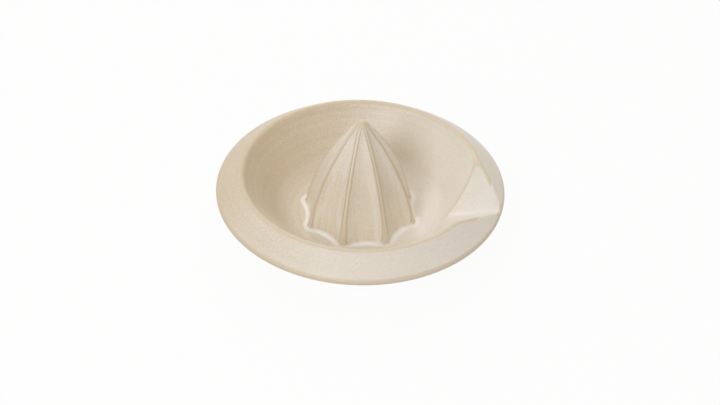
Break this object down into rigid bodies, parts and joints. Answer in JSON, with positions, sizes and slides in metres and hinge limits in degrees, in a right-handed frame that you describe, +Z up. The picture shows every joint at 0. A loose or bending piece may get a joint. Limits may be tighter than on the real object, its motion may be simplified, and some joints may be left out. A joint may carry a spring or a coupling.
{
  "type": "citrus reamer",
  "caption": "Glazed stoneware citrus reamer: round dish with a folded rim and a pressed V spout, and a fluted hollow cone standing in the middle on a foot ring.",
  "frame": {"origin": "on the table under the middle of the dish, in the plane that the foot ring stands on", "axes": "+Z up along the cone's axis, +X from the middle out through the spout, +Y to the left of the spout"},
  "size_m": [0.16, 0.16, 0.0717],
  "materials": {
    "glazed_stoneware": "satin to gloss cream glaze that breaks to honey brown on the edges",
    "bare_stoneware": "bare fired clay, fine and matt"
  },
  "bodies": {
    "root": {"dish": "glazed_stoneware", "reamer_cone": "glazed_stoneware", "luting_coil": "glazed_stoneware", "foot_ring": "bare_stoneware"}
  },
  "joints": []
}
